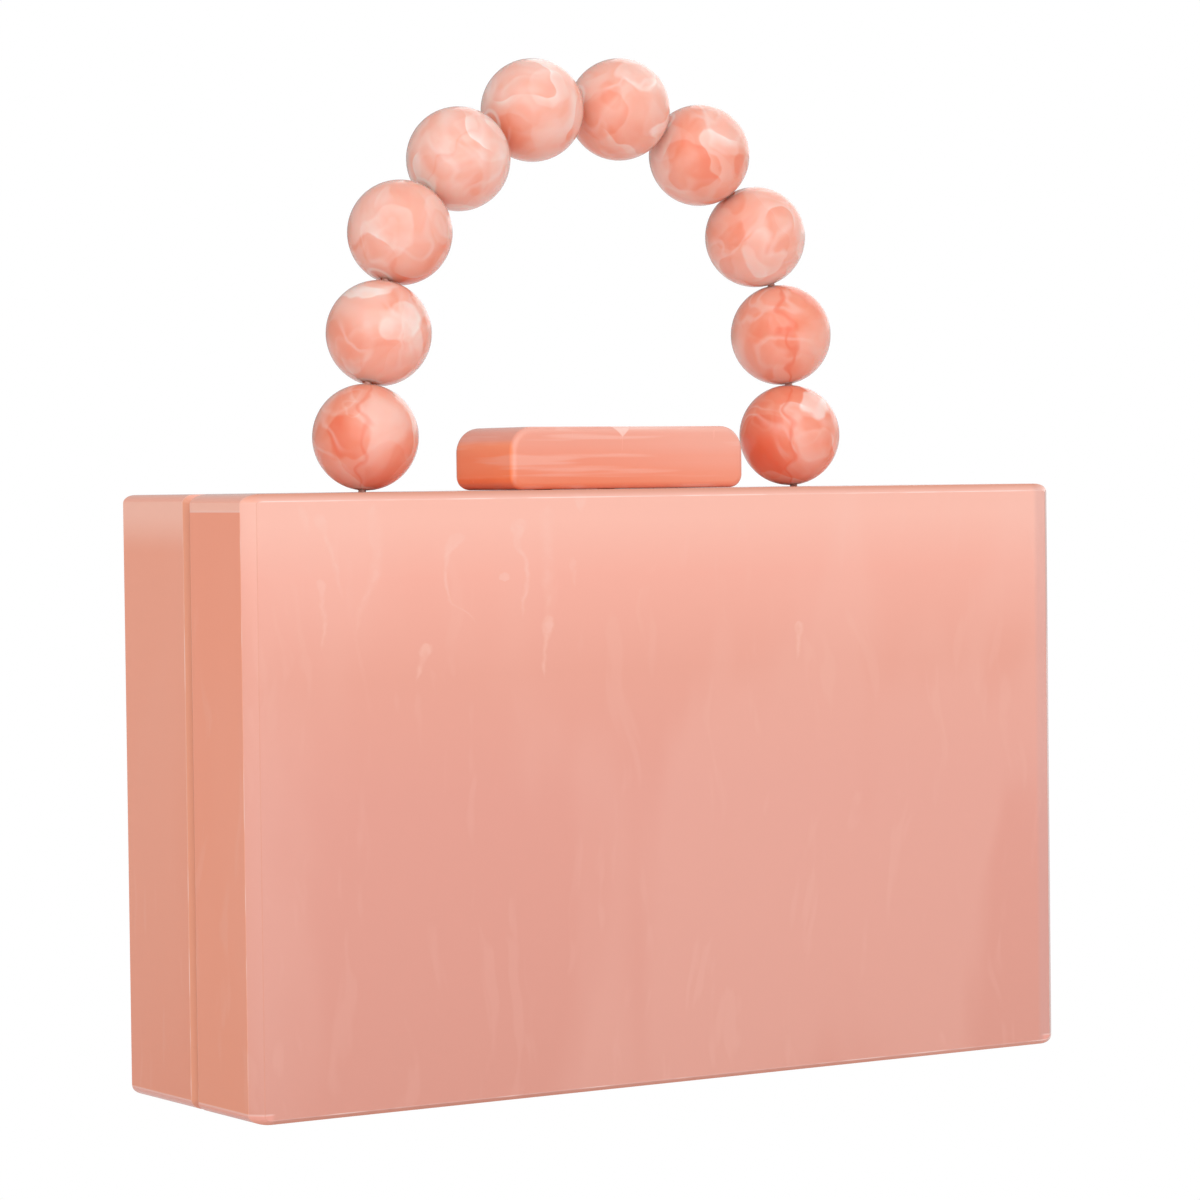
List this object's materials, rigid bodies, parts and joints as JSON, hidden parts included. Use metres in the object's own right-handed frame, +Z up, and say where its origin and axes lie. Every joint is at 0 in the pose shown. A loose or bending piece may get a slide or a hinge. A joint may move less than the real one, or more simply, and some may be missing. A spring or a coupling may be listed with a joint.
{
  "type": "acrylic box clutch",
  "caption": "Hard box clutch in translucent acrylic that opens at the top like a book, with a lift clasp and an arched handle of round beads.",
  "frame": {"origin": "on the ground under the middle of the case's box", "axes": "+Z up, front of the bag towards -Y, +X to the right as seen from the front"},
  "size_m": [0.2, 0.0544, 0.2157],
  "materials": {
    "case_acrylic": "glossy translucent coral acrylic with faint whitish streaks",
    "clasp_acrylic": "glossy coral acrylic, a little deeper than the case",
    "bead_acrylic": "glossy marbled coral, deep orange and white acrylic",
    "handle_cord": "thin coated cord",
    "hinge_metal": "polished"
  },
  "bodies": {
    "rear_case": {"rear_shell": "case_acrylic", "hinge_rear_1": "hinge_metal", "hinge_pin_1": "hinge_metal", "hinge_rear_2": "hinge_metal", "hinge_pin_2": "hinge_metal", "clasp_hinge": "hinge_metal", "bead_01": "bead_acrylic", "bead_02": "bead_acrylic", "bead_03": "bead_acrylic", "bead_04": "bead_acrylic", "bead_05": "bead_acrylic", "bead_06": "bead_acrylic", "bead_07": "bead_acrylic", "bead_08": "bead_acrylic", "bead_09": "bead_acrylic", "bead_10": "bead_acrylic", "handle_cord": "handle_cord"},
    "front_case": {"front_shell": "case_acrylic", "hinge_front_1": "hinge_metal", "hinge_front_2": "hinge_metal"},
    "clasp": {"clasp_bar": "clasp_acrylic"}
  },
  "joints": [
    {"name": "case_hinge", "type": "hinge", "parent": "rear_case", "child": "front_case", "pos_m": [0, -0.00225, 0.002], "axis": [1, 0, 0], "range_deg": [0, 85]},
    {"name": "clasp_pivot", "type": "hinge", "parent": "rear_case", "child": "clasp", "pos_m": [0, 0.01095, 0.1258], "axis": [-1, 0, 0], "range_deg": [0, 90]}
  ]
}
